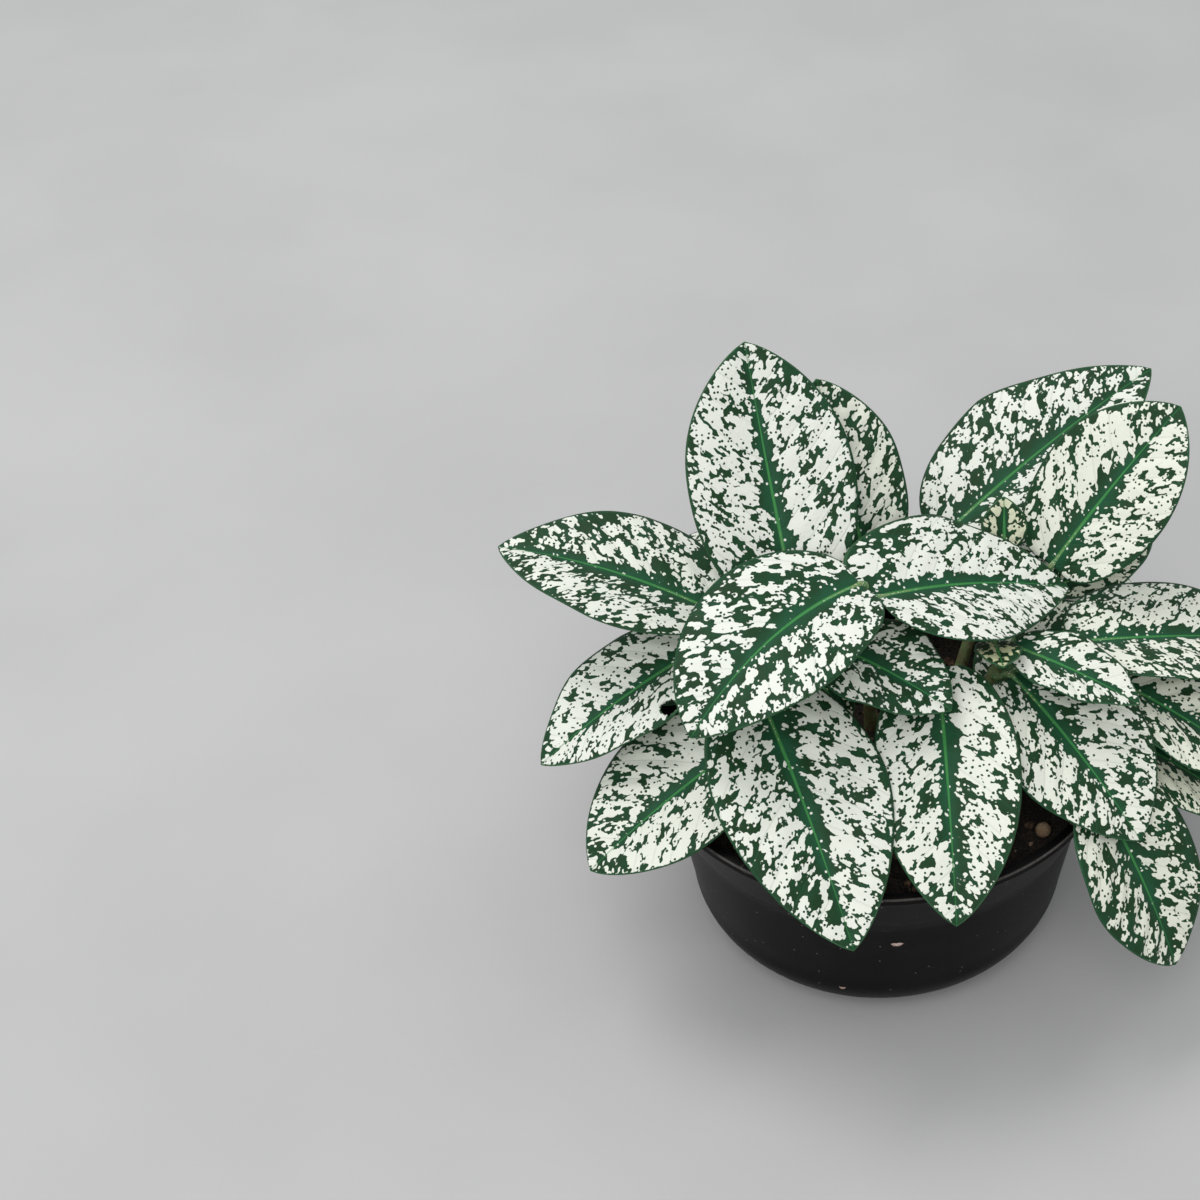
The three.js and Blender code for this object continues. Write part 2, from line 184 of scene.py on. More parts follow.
# Stem, height of the node, base of the blade, heading, rise, length, width, droop, roll, sweep and
# fullness towards the tip. Left out, roll and sweep are 0 and fullness is 1.7.
LEAF_FIELDS = "stem node base heading rise length width droop roll sweep fullness"
LeafRow = namedtuple("LeafRow", LEAF_FIELDS, defaults=(0, 0, 1.7))
LEAF_ROWS = {
    "leaf_crown_left": ("centre", 97, (-5, -2, 107), -134, -13, 59, 40, 45, -8, 12, 2.0),
    "leaf_crown_right": ("centre", 95, (-1, -2.5, 103.3), 27, -18, 58.5, 42, 12, 14, -14, 1.3),
    "leaf_crown_front": ("centre", 89, (-14, -7, 93), -30, -10, 36, 31, 20, 0, 0, 1.8),
    "leaf_crown_back": ("centre", 88, (-3, 23, 91), 119, 58, 50, 31, 10, 0, 0, 2.2),
    "leaf_left_upright": ("left", 88, (-21.2, 4, 97), 107.5, 52, 64, 42, -10, 0, 0, 2.3),
    "leaf_left_outer": ("left", 82, (-41, 10, 88), 165, 9, 58, 42, 25, 0, 0, 1.6),
    "leaf_left_low": ("left", 76, (-44, 6, 80), -152, -24, 50, 34, 20),
    "leaf_left_lowest": ("left", 66, (-30, -13, 68), -146, -22, 53, 41, 20, 0, 0, 2.1),
    "leaf_left_inner": ("left", 72, (-15, -5, 78), -50, -30, 13, 12, 15),
    "leaf_front_left": ("left", 84, (-30, -16, 86), -68, -25, 69, 42, 25, 0, 0, 1.8),
    "leaf_front": ("front", 79, (14, -7, 85), -87, -25, 66, 35, 25, 0, 0, 2.1),
    "leaf_back_right_outer": ("back_right", 80, (16.5, 47, 82), 31, 25, 73, 44, 15, 12, 0, 1.4),
    "leaf_back_right_inner": ("back_right", 80, (44.5, 31, 86), 29, 46, 52, 37, 10, 20, 0, 2.3),
    "leaf_back_right_young": ("back_right", 81, (32, 31.5, 91.5), 91, 57, 13, 12, 5),
    "leaf_right_back": ("right", 74, (47, 35, 75), 28, 12, 30, 20, 20, 10),
    "leaf_right_outer": ("right", 74, (48, 9, 79), 12, -9, 60, 39, 10),
    "leaf_right_low": ("right", 68, (57, 5, 71), -22, -24, 50, 34, 20),
    "leaf_right_lowest": ("right", 62, (53, -3, 63), -18, -25, 48, 34, 20),
    "leaf_right_small": ("right", 77, (32.5, -0.5, 86), -28, -8, 34.5, 22, 15),
    "leaf_right_young": ("right", 79, (28, -1.5, 88), -85, 16, 14, 12, 10),
    "leaf_right_front": ("right", 74, (32.7, -4, 79), -49, -26, 51, 42, 20, 0, 0, 1.8),
    "leaf_right_hanging": ("right", 58, (52, -29, 64.5), -47, -52, 49, 36, 20, 0, 0, 1.9),
    "leaf_back_left_high": ("back_left", 83, (-25, 37, 87), 114, 6, 44, 31, 40),
    "leaf_back_left_side": ("back_left", 78, (-38, 28, 80), 176, -24, 33, 26, 30),
    "leaf_back_left_low": ("back_left", 68, (-38, 42, 70), 142, -25, 48, 36, 40),
    "leaf_back_high": ("back", 84, (-8, 44, 87), 102, -4, 42, 30, 40),
    "leaf_back_low": ("back", 70, (10, 48, 68), 88, -30, 52, 38, 40),
    "leaf_back_middle": ("back", 80, (-4, 46, 80), 118, -18, 50, 36, 40),
    "leaf_back_side": ("back", 78, (22, 48, 75), 56, -20, 48, 34, 40),
    "leaf_back_left_inner": ("back_left", 83, (-18, 33, 90), 70, 34, 28, 20, 30),
    "leaf_back_left_young": ("back_left", 84, (-28, 31, 90), 160, 40, 14, 11, 10),
    "leaf_back_young": ("back", 86, (0, 38, 91), 118, 45, 14, 11, 10),
    "leaf_left_back_low": ("left", 61, (-34, 13, 65), 176, -12, 36, 28, 30),
    "leaf_right_inner": ("right", 62, (29, 9, 63), 66, 4, 22, 16, 20),
    "leaf_back_right_low": ("back_right", 70, (42, 36, 69), 34, -26, 50, 36, 40),
    "leaf_right_middle": ("right", 72, (38, 13, 72), 35, 4, 26, 22, 15),
}
LEAVES = {name: LeafRow(*row) for name, row in LEAF_ROWS.items()}

# How green, how creamy and how young a leaf is, each from 0 to 1, where it isn't USUAL_LOOK
LEAF_LOOKS = {
    "leaf_crown_left": (0.60, 0.05, 0.0),
    "leaf_crown_right": (0.30, 0.05, 0.0),
    "leaf_crown_front": (0.75, 0.15, 0.0),
    "leaf_crown_back": (0.45, 0.35, 0.0),
    "leaf_left_upright": (0.35, 0.05, 0.0),
    "leaf_left_outer": (0.60, 0.15, 0.0),
    "leaf_left_low": (0.15, 0.10, 0.0),
    "leaf_left_lowest": (0.30, 0.20, 0.0),
    "leaf_left_inner": (0.85, 0.80, 0.3),
    "leaf_front_left": (0.45, 0.15, 0.0),
    "leaf_front": (0.42, 0.20, 0.0),
    "leaf_back_right_outer": (0.50, 0.10, 0.0),
    "leaf_back_right_inner": (0.35, 0.35, 0.0),
    "leaf_right_back": (0.45, 0.70, 0.0),
    "leaf_right_outer": (0.45, 0.30, 0.0),
    "leaf_right_low": (0.35, 0.50, 0.0),
    "leaf_right_lowest": (0.50, 0.80, 0.0),
    "leaf_right_small": (0.35, 0.20, 0.0),
    "leaf_right_front": (0.45, 0.25, 0.0),
    "leaf_right_hanging": (0.70, 0.45, 0.0),
    "leaf_back_right_young": (0.20, 0.80, 0.5),
    "leaf_right_middle": (0.45, 0.50, 0.0),
    "leaf_right_young": (0.50, 0.80, 1.0),
    "leaf_back_left_young": (0.50, 0.60, 0.8),
    "leaf_back_young": (0.50, 0.60, 0.8),
}
USUAL_LOOK = (0.42, 0.30, 0.0)

# Colours, linear
LEAF_WHITE = (0.80, 0.82, 0.76)
LEAF_CREAM = (0.76, 0.78, 0.60)
LEAF_GREEN = (0.010, 0.042, 0.013)
LEAF_GREEN_PALE = (0.012, 0.090, 0.040)
LEAF_RIB = (0.045, 0.230, 0.060)
LEAF_EDGE = (0.060, 0.150, 0.065)
YOUNG_YELLOW = (0.50, 0.50, 0.17)
STEM_GREEN = (0.16, 0.24, 0.08)
STEM_BROWN = (0.17, 0.10, 0.05)
POT_BLACK = (0.002, 0.002, 0.002)
# The pot's dust colour, also used for the painted highlight along its lip
DUST_AND_HIGHLIGHT = (0.30, 0.28, 0.26)
SOIL_DARK = (0.009, 0.006, 0.005)
SOIL_BROWN = (0.070, 0.044, 0.028)
BARK_BROWN = (0.33, 0.19, 0.11)
PALE_GRAIN = (0.55, 0.47, 0.36)
PEBBLE_TAN = (0.50, 0.45, 0.29)
FLAKE_PINK = (0.42, 0.27, 0.22)
FLAKE_PALE = (0.80, 0.68, 0.62)
FLOOR_GREY = (0.485, 0.481, 0.475)


def point(x, y, z):
    """A place given in millimetres, in metres."""
    return Vector((x, y, z)) * MM


def new_object(name, data):
    """An object of its own for a mesh, light or camera, put in the scene."""
    made = bpy.data.objects.new(name, data)
    bpy.context.collection.objects.link(made)
    return made


def add_camera():
    """The camera at the photograph's angle, shifted so that the plant stands where it does there."""
    data = bpy.data.cameras.new("camera")
    data.sensor_width = SENSOR_WIDTH
    data.lens = FOCAL_LENGTH
    data.shift_x = (PHOTO_SIZE / 2 - PLANT_AXIS_PIXEL) / PHOTO_SIZE
    camera = new_object("camera", data)
    camera.location = point(*CAMERA_PLACE)
    camera.rotation_euler = (math.radians(90 - CAMERA_DOWN), 0, 0)
    bpy.context.scene.camera = camera


# Materials

class Graph:
    """The nodes of one material. A value is a number, a tuple or another node's output."""

    def __init__(self, name):
        self.material = bpy.data.materials.new(name)
        self.material.use_nodes = True
        self.tree = self.material.node_tree
        self.shader = self.tree.nodes["Principled BSDF"]

    def put(self, socket, value):
        if isinstance(value, bpy.types.NodeSocket):
            self.tree.links.new(value, socket)
        elif socket.type == "RGBA":
            socket.default_value = (*value, 1.0)
        else:
            socket.default_value = value

    def set(self, **values):
        """Sets the shader's sockets: base_color becomes Base Color."""
        for key, value in values.items():
            self.put(self.shader.inputs[key.replace("_", " ").title().replace("Ior", "IOR")], value)

    def add(self, kind, values, **settings):
        node = self.tree.nodes.new("ShaderNode" + kind)
        for key, value in settings.items():
            setattr(node, key, value)
        for key, value in values.items():
            self.put(node.inputs[key], value)
        return node

    def math(self, operation, a, b=0.0, c=0.0):
        return self.add("Math", {0: a, 1: b, 2: c}, operation=operation).outputs[0]

    def times(self, a, b):
        return self.math("MULTIPLY", a, b)

    def minus(self, a, b):
        return self.math("SUBTRACT", a, b)

    def weigh(self, *pairs):
        """The sum of some values, each times its weight."""
        total = self.math("MULTIPLY", *pairs[0])
        for value, weight in pairs[1:]:
            total = self.math("MULTIPLY_ADD", value, weight, total)
        return total

    def smooth(self, value, low, high, start=0.0, end=1.0):
        """A smooth step: `start` below `low`, `end` above `high`."""
        values = {"Value": value, "From Min": low, "From Max": high, "To Min": start, "To Max": end}
        return self.add("MapRange", values, interpolation_type="SMOOTHSTEP").outputs[0]

    def fade(self, value, low, high):
        return self.smooth(value, low, high, 1.0, 0.0)

    def mix(self, factor, a, b, blend="MIX"):
        values = {0: factor, 6: a, 7: b}
        return self.add("Mix", values, data_type="RGBA", blend_type=blend).outputs[2]

    def join(self, x, y, z=0.0):
        return self.add("CombineXYZ", {0: x, 1: y, 2: z}).outputs[0]

    def split(self, vector):
        return self.add("SeparateXYZ", {0: vector}).outputs

    def attribute(self, name):
        return self.add("Attribute", {}, attribute_name=name).outputs["Vector"]

    def noise(self, vector, scale, detail=2.0, roughness=0.5, distortion=0.0):
        values = {"Vector": vector, "Scale": scale, "Detail": detail, "Roughness": roughness,
                  "Distortion": distortion}
        return self.add("TexNoise", values, noise_dimensions="3D").outputs[0]

    def cells(self, vector, scale):
        """Flat cells: the distance to the nearest seed and a colour that differs from cell to cell."""
        return self.add("TexVoronoi", {"Vector": vector, "Scale": scale}, voronoi_dimensions="2D").outputs

    def dots(self, vector, scale, channel, width, edge, rarity):
        """Round dots in a few flat cells, picked and sized by one channel of their colour."""
        cells = self.cells(vector, scale)
        size = self.split(cells["Color"])[channel]
        outside = self.minus(cells["Distance"], self.times(size, width))
        dot = self.fade(outside, 0.0, edge)
        return self.times(dot, self.smooth(size, rarity, rarity + 0.02))

    def place_mm(self):
        """Where a point lies in the frame, in millimetres."""
        spot = self.add("TexCoord", {}).outputs["Object"]
        return self.add("VectorMath", {0: spot, "Scale": 1 / MM}, operation="SCALE").outputs[0]

    def bump(self, height, distance_mm, strength=1.0):
        values = {"Height": height, "Distance": distance_mm * MM, "Strength": strength}
        self.set(normal=self.add("Bump", values).outputs[0])


def leaf_blotches(graph, combed, near_rib, margin, green):
    """Where a blade is green, and the finest noise of it: cell ridges give the blotches ragged points."""
    specks = graph.noise(combed, 0.74, 1.5, 0.6, 0.5)
    field = graph.weigh(
        (graph.noise(combed, 0.12, 1.0, 0.5), 0.50),
        (graph.noise(combed, 0.30, 1.0, 0.5, 0.5), 1.10),
        (specks, 0.45),
        (graph.cells(combed, 0.68)["Distance"], 0.36),
        (near_rib, 0.33),
        (graph.fade(margin, 0.3, 3.0), 0.10),
        (green, 0.18),
    )
    return graph.smooth(field, 1.295, 1.325), specks


def leaf_veins(graph, along, reach, share):
    """Fine lines along the lateral veins, which are the dips of the blade's quilting."""
    lean = graph.math("MULTIPLY_ADD", reach, VEIN_CURVE, VEIN_LEAN)
    vein = graph.minus(along, graph.times(reach, lean))
    share_per_mm = graph.math("DIVIDE", share, graph.math("MAXIMUM", along, 0.01))
    turns = graph.times(graph.times(vein, share_per_mm), VEIN_PAIRS)
    off_middle = graph.math("ABSOLUTE", graph.minus(graph.math("FRACT", turns), 0.5))
    return graph.fade(graph.minus(0.5, off_middle), 0.0, 0.05)


def leaf_material():
    """Ragged green blotches on white, densest along the midrib and in a speckled band at the margin.

    leaf_place holds mm along and across the blade and mm to its margin; leaf_part holds the share of
    the length, the side (1 under, 0 above) and a seed; leaf_look holds green, cream and young.
    """
    graph = Graph("leaf_variegated")
    along, across, margin = graph.split(graph.attribute("leaf_place"))
    share, under, seed = graph.split(graph.attribute("leaf_part"))
    green, cream, young = graph.split(graph.attribute("leaf_look"))
    reach = graph.math("ABSOLUTE", across)
    moved = graph.math("ADD", along, seed)
    flat = graph.join(moved, across)
    swept = graph.math("MULTIPLY_ADD", reach, -PATTERN_LEAN, moved)
    combed = graph.join(swept, graph.times(across, 0.92))

    rib_reach = graph.smooth(share, 0.25, 1.0, 3.6, 1.2)
    rib_reach = graph.times(rib_reach, graph.math("MULTIPLY_ADD", young, -0.8, 1.0))
    near_rib = graph.fade(graph.math("DIVIDE", reach, rib_reach), 0.0, 1.3)
    near_rib = graph.times(near_rib, graph.smooth(share, 0.6, 1.0, 1.0, 0.35))
    patches, specks = leaf_blotches(graph, combed, near_rib, margin, green)

    # Small green dots on the white, small white dots on the green and a ragged green rim
    dots = graph.dots(flat, 0.75, 0, 0.24, 0.05, 0.66)
    gaps = graph.dots(graph.join(across, moved), 0.7, 1, 0.20, 0.05, 0.88)
    rim_width = graph.times(graph.noise(flat, 1.1, 1.0), 1.1)
    rim = graph.fade(graph.minus(margin, rim_width), -0.05, 0.10)
    mask = graph.math("MAXIMUM", patches, dots)
    mask = graph.times(mask, graph.minus(1.0, gaps))
    mask = graph.math("MAXIMUM", mask, rim)

    veins = leaf_veins(graph, along, reach, share)
    rib_width = graph.smooth(share, 0.0, 0.9, 0.70, 0.20)
    rib = graph.fade(graph.math("DIVIDE", reach, rib_width), 0.45, 1.0)
    rib_show = graph.times(rib, graph.smooth(share, 0.55, 1.0, 1.0, 0.45))

    tone = graph.smooth(graph.noise(flat, 0.16, 2.0), 0.35, 0.7)
    dark = graph.mix(graph.weigh((near_rib, 0.55), (tone, 0.35)), LEAF_GREEN, LEAF_GREEN_PALE)
    dark = graph.mix(graph.times(veins, 0.28), dark, LEAF_GREEN_PALE)
    dark = graph.mix(graph.times(rim, 0.35), dark, LEAF_GREEN_PALE)
    light = graph.mix(cream, LEAF_WHITE, LEAF_CREAM)
    light = graph.mix(graph.times(specks, 0.20), light, LEAF_CREAM)
    light = graph.mix(graph.times(veins, 0.10), light, LEAF_GREEN_PALE)
    colour = graph.mix(mask, light, dark)
    colour = graph.mix(graph.times(young, 0.55), colour, YOUNG_YELLOW, "MULTIPLY")
    colour = graph.mix(graph.smooth(margin, 0.15, 0.60, 0.75, 0.0), colour, LEAF_EDGE)
    colour = graph.mix(rib_show, colour, LEAF_RIB)
    colour = graph.mix(under, colour, graph.mix(0.45, colour, LEAF_GREEN_PALE))

    grain = graph.noise(flat, 3.2, 3.0, 0.6)
    height = graph.weigh((grain, 0.40), (graph.noise(flat, 0.9, 2.0), 0.9), (veins, -0.5), (rib, -0.8),
                         (mask, 0.12))
    graph.set(base_color=colour, roughness=graph.smooth(grain, 0.3, 0.7, 0.45, 0.60), ior=1.42)
    graph.set(specular_ior_level=0.24)
    graph.bump(height, 0.22, 0.7)
    return graph.material


def petiole_material():
    """Green petiole skin, streaked and finely speckled with cream."""
    graph = Graph("petiole_green")
    spot = graph.place_mm()
    streaks = graph.noise(spot, 0.7, 3.0, 0.6)
    colour = graph.mix(graph.smooth(streaks, 0.35, 0.65), STEM_GREEN, LEAF_RIB)
    colour = graph.mix(graph.smooth(graph.noise(spot, 2.6, 2.0), 0.55, 0.7), colour, LEAF_CREAM)
    graph.set(base_color=colour, roughness=0.5)
    graph.bump(streaks, 0.15)
    return graph.material


def stem_material():
    """Ridged green stem, browner and woodier towards the soil."""
    graph = Graph("stem_green")
    spot = graph.place_mm()
    x, y, z = graph.split(spot)
    lengthways = graph.join(x, y, graph.times(z, 0.15))
    ridges = graph.noise(lengthways, 1.8, 3.0, 0.6)
    age = graph.smooth(z, SOIL_EDGE_HEIGHT, STEM_GREEN_FROM, 1.0, 0.15)
    woody = graph.times(graph.smooth(graph.noise(spot, 0.35, 3.0), 0.3, 0.7), age)
    colour = graph.mix(woody, STEM_GREEN, STEM_BROWN)
    colour = graph.mix(graph.smooth(ridges, 0.55, 0.8, 0.0, 0.5), colour, LEAF_CREAM)
    graph.set(base_color=colour, roughness=0.6)
    graph.bump(ridges, 0.3)
    return graph.material


def pot_marks(graph, spot, turn, z):
    """Fine slanted scratches and upright scuffs, both in patches."""
    slanted = graph.math("MULTIPLY_ADD", turn, 0.35, z)
    crossed = graph.join(graph.times(turn, 0.05), slanted, 3.0)
    scratch = graph.smooth(graph.noise(crossed, 1.9, 2.0, 0.7), 0.69, 0.74)
    upright = graph.join(turn, graph.times(z, 0.05), 9.0)
    scuff = graph.smooth(graph.noise(upright, 1.1, 2.0, 0.7), 0.70, 0.76)
    patches = graph.smooth(graph.noise(spot, 0.11, 2.0), 0.45, 0.7)
    return graph.times(graph.math("MAXIMUM", scratch, scuff), patches)


def pot_lip_highlight_and_ledge_line(graph, x, y, z):
    """A painted highlight along the lip's outer edge, and a fainter pale line painted along the ledge."""
    radius = graph.math("SQRT", graph.math("MULTIPLY_ADD", x, x, graph.times(y, y)))
    off_lip = graph.math("ABSOLUTE", graph.minus(radius, RIM_RADIUS - 0.35))
    lip = graph.fade(off_lip, 0.10, 0.40)
    lip = graph.times(lip, graph.smooth(z, POT_HEIGHT - LIP_ROUND, POT_HEIGHT - 0.2))
    off_ledge = graph.math("ABSOLUTE", graph.minus(z, LEDGE_HEIGHT + 0.4))
    return graph.math("MAXIMUM", lip, graph.smooth(off_ledge, 0.1, 0.5, 0.12, 0.0))


def pot_material():
    """Black moulded plastic with a satin skin, fine scratches, pale specks, dust at the foot and a painted
    highlight along the lip.
    """
    graph = Graph("pot_black_plastic")
    spot = graph.place_mm()
    x, y, z = graph.split(spot)
    angle = graph.math("ARCTAN2", x, graph.times(y, -1.0))
    turn = graph.times(angle, LEDGE_RADIUS)
    skin = graph.noise(spot, 1.6, 4.0, 0.65)
    marks = pot_marks(graph, spot, turn, z)
    # Scratches, dust at the foot, specks and the painted highlight along the lip, each mixed towards the
    # pale grey
    dust_and_highlight = (
        graph.times(marks, 0.24),
        graph.times(graph.smooth(z, 0.0, 9.0, 0.28, 0.0), skin),
        graph.times(graph.dots(graph.join(turn, z), 0.30, 0, 0.05, 0.03, 0.88), 0.45),
        graph.smooth(graph.noise(spot, 0.06, 3.0, 0.6), 0.4, 0.8, 0.0, 0.01),
        # Painted highlight along the lip's outer edge, with a fainter pale line along the ledge
        graph.times(graph.times(pot_lip_highlight_and_ledge_line(graph, x, y, z), 0.50), skin),
    )
    colour = POT_BLACK
    for factor in dust_and_highlight:
        colour = graph.mix(factor, colour, DUST_AND_HIGHLIGHT)
    rough = graph.math("MULTIPLY_ADD", skin, 0.16, 0.33)
    graph.set(base_color=colour, roughness=graph.math("MULTIPLY_ADD", marks, 0.15, rough))
    graph.set(specular_ior_level=0.10)
    graph.bump(graph.weigh((skin, 0.35), (marks, -0.5)), 0.12, 0.6)
    return graph.material


def soil_material(name, dark, light, scale, rough=0.95):
    """A crumbly mineral look: grains of the light colour in clumps of the dark one."""
    graph = Graph(name)
    spot = graph.place_mm()
    grain = graph.noise(spot, scale, 5.0, 0.7)
    clump = graph.noise(spot, scale * 0.22, 3.0, 0.6)
    colour = graph.mix(graph.smooth(grain, 0.42, 0.66), dark, light)
    colour = graph.mix(graph.smooth(clump, 0.35, 0.65, 0.55, 0.0), colour, dark)
    graph.set(base_color=colour, roughness=rough)
    graph.bump(grain, 0.5)
    return graph.material


def floor_material():
    """Plain grey, very faintly clouded."""
    graph = Graph("floor_grey")
    spot = graph.place_mm()
    cloud = graph.noise(spot, 0.008, 3.0, 0.5)
    grain = graph.noise(spot, 0.5, 3.0, 0.6)
    pale = tuple(value * 1.08 for value in FLOOR_GREY)
    colour = graph.mix(graph.smooth(cloud, 0.3, 0.7), FLOOR_GREY, pale)
    graph.set(base_color=colour, roughness=0.9)
    graph.bump(grain, 0.1, 0.4)
    return graph.material


# Meshes

def add_piece(name, mesh, materials, replaces=()):
    """Puts a finished mesh in the scene as a piece of the plant."""
    for material in materials:
        mesh.materials.append(material)
    piece = new_object(name, mesh)
    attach(piece, "root")
    if replaces:
        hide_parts(*replaces)


def shade_smooth(mesh):
    mesh.polygons.foreach_set("use_smooth", [True] * len(mesh.polygons))


def take_mesh(bm, name):
    """The mesh of a finished bmesh, which is freed."""
    mesh = bpy.data.meshes.new(name)
    bm.to_mesh(mesh)
    bm.free()
    return mesh


def polar(radius, angle):
    return radius * math.cos(angle), radius * math.sin(angle)


def full_turn(count):
    """Evenly spaced angles, once round."""
    return [2 * math.pi * step / count for step in range(count)]


def smooth_mesh(name, points, faces):
    """A smooth-shaded mesh from points in millimetres."""
    mesh = bpy.data.meshes.new(name)
    mesh.from_pydata([tuple(value * MM for value in place) for place in points], [], faces)
    mesh.validate()
    shade_smooth(mesh)
    return mesh


def join_rings(rings, sides, closed_start=False, closed_end=False, first=0):
    """Quads between rings of points that follow each other, numbered from `first`."""
    faces = []
    for ring in range(rings - 1):
        for side in range(sides):
            a = first + ring * sides + side
            b = first + ring * sides + (side + 1) % sides
            faces.append((a, b, b + sides, a + sides))
    if closed_start:
        faces.append(tuple(first + side for side in reversed(range(sides))))
    if closed_end:
        faces.append(tuple(first + (rings - 1) * sides + side for side in range(sides)))
    return faces


def tube(path, side_of, sides, ripple=0.0):
    """Rings of points round a path of centres, directions and radii, with four faint ridges if rippled."""
    points = []
    for centre, along, radius in path:
        side = side_of(along)
        lift = along.cross(side)
        for angle in full_turn(sides):
            out = radius * (1 + ripple * math.cos(4 * angle))
            points.append(centre + side * math.cos(angle) * out + lift * math.sin(angle) * out)
    return points


def bezier(a, b, c, d, share):
    rest = 1 - share
    return a * rest ** 3 + b * 3 * share * rest ** 2 + c * 3 * share ** 2 * rest + d * share ** 3


def bezier_slope(a, b, c, d, share):
    rest = 1 - share
    return (b - a) * 3 * rest ** 2 + (c - b) * 6 * share * rest + (d - c) * 3 * share ** 2


def stem_points(name):
    """The four Bezier points of a stem above the soil, in millimetres."""
    (x, y), top = STEMS[name]
    surface = Vector((x, y, SOIL_EDGE_HEIGHT + SOIL_CROWN))
    crown = Vector(top)
    third = (crown.z - surface.z) / 3
    return surface, surface + Vector((0, 0, third)), crown - Vector((0, 0, third)), crown


def stem_share(name, height):
    """How far along its Bezier a stem reaches a height, found by halving."""
    low, high = 0.0, 1.0
    for _ in range(HALVINGS):
        middle = (low + high) / 2
        if bezier(*stem_points(name), middle).z < height:
            low = middle
        else:
            high = middle
    return low


def blade_shape(share, fullness):
    """The blade's width at a share of its length: a round base and a tip as full as given."""
    if share > WIDEST_AT:
        return max(1 - ((share - WIDEST_AT) / (1 - WIDEST_AT)) ** fullness, 0.0) ** TIP_ROUNDNESS
    power = math.log(0.5) / math.log(WIDEST_AT)
    return max(math.sin(math.pi * share ** power), 0.0) ** BASE_ROUNDNESS


class Blade:
    """A blade's middle line, sides and normals, bending evenly from base to tip."""

    def __init__(self, row):
        self.length = row.length
        self.width = row.width
        self.fullness = row.fullness
        self.centres = []
        self.alongs = []
        self.sides = []
        roll = math.radians(row.roll)
        here = Vector(row.base)
        for step in range(BLADE_STEPS + 1):
            share = step / BLADE_STEPS
            climb = math.radians(row.rise + row.droop * (0.5 - share))
            turn = math.radians(row.heading - row.sweep * (0.5 - share))
            forward = Vector((math.cos(turn), math.sin(turn), 0))
            along = forward * math.cos(climb) + Vector((0, 0, math.sin(climb)))
            side = Vector((-forward.y, forward.x, 0))
            side = side * math.cos(roll) + along.cross(side) * math.sin(roll)
            self.centres.append(here.copy())
            self.alongs.append(along)
            self.sides.append(side)
            here += along * row.length / BLADE_STEPS

    def at(self, share):
        """Centre, direction, left side and normal at a share of the length."""
        spot = min(max(share, 0.0), 1.0) * BLADE_STEPS
        low = min(int(spot), BLADE_STEPS - 1)
        part = spot - low
        centre = self.centres[low].lerp(self.centres[low + 1], part)
        along = self.alongs[low].lerp(self.alongs[low + 1], part).normalized()
        side = self.sides[low].lerp(self.sides[low + 1], part).normalized()
        return centre, along, side, along.cross(side)

    def half_width(self, share):
        return max(self.width / 2 * blade_shape(share, self.fullness), TIP_HALF_WIDTH)


def vein_turn(along, across, length):
    """How many vein spacings a point lies from the base, measured along the curved veins."""
    lean = VEIN_LEAN + VEIN_CURVE * abs(across)
    return (along - abs(across) * lean) / length * VEIN_PAIRS


def blade_point(blade, share, v, style):
    """A place on the blade's middle surface, its normal, its gap to the midrib and the half width there.

    v runs from -1 to 1 across the blade.
    """
    centre, along, side, normal = blade.at(share)
    half = blade.half_width(share)
    reach = abs(v) * half
    lobe = style["lobe_left"] if v > 0 else style["lobe_right"]
    back = lobe * reach * abs(v) * max(0.0, 1 - share / LOBE_SPAN) ** 1.5
    cup = FOLD * reach * (1.12 - 0.30 * v * v)
    phase = style["waves"] * share + style["phase"] + 0.21 * (v > 0)
    wave = style["wave"] * math.sin(2 * math.pi * phase)
    wave *= abs(v) ** 3 * math.sin(math.pi * min(share * 1.04, 1.0))
    turns = vein_turn(share * blade.length, v * half, blade.length)
    swell = style["quilt"] * (0.5 - 0.5 * math.cos(2 * math.pi * turns))
    swell *= math.sin(math.pi * min(abs(v) * 1.05, 1.0)) * min(half / 12, 1.0)
    lift = cup + wave + swell - GROOVE_DEPTH * math.exp(-(reach / GROOVE_REACH) ** 2)
    return centre + side * v * half - along * back + normal * lift, normal, reach, half


def leaf_style(name):
    """The wave of a leaf's margin, its quilting and how far its base lobes reach back."""
    rng = random.Random(name)
    return {
        "wave": rng.uniform(0.35, 0.75),
        "waves": rng.uniform(1.6, 2.6),
        "phase": rng.random(),
        "quilt": rng.uniform(0.35, 0.6),
        "lobe_left": DEEP_LOBES[name] if name in DEEP_LOBES else rng.uniform(0.12, 0.3),
        "lobe_right": rng.uniform(0.12, 0.3),
    }


def blade_side(k, columns):
    """How far across the blade the k-th point of a ring lies: over its top, then back underneath."""
    v = 1 - k / columns if k <= 2 * columns else k / columns - 3
    return math.copysign(abs(v) ** 0.9, v)


def textured_rings(rings, sides, spot, first=0):
    """The faces of a closed run of rings, each paired with the texture places of its corners."""
    faces = join_rings(rings, sides, closed_start=True, closed_end=True, first=first)
    places = []
    for ring in range(rings - 1):
        for side in range(sides):
            corners = ((0, 0), (0, 1), (1, 1), (1, 0))
            places.append([spot(ring + step, side + turn, side) for step, turn in corners])
    places += [[spot(0, 0, 0)] * sides, [spot(rings - 1, 0, 0)] * sides]
    return list(zip(faces, places))


def pull_to_hole(blade, share, v, hole):
    """Draws a point that lies just outside a hole to its edge. Also gives its gap to that edge."""
    along, across, radius = hole
    half = blade.half_width(share)
    away = Vector((share * blade.length - along, v * half - across))
    gap = away.length - radius
    if 0 < gap < HOLE_BLEND:
        away *= (radius + gap ** 2 / HOLE_BLEND) / away.length
        share = (along + away.x) / blade.length
        v = (across + away.y) / half
    return share, v, gap


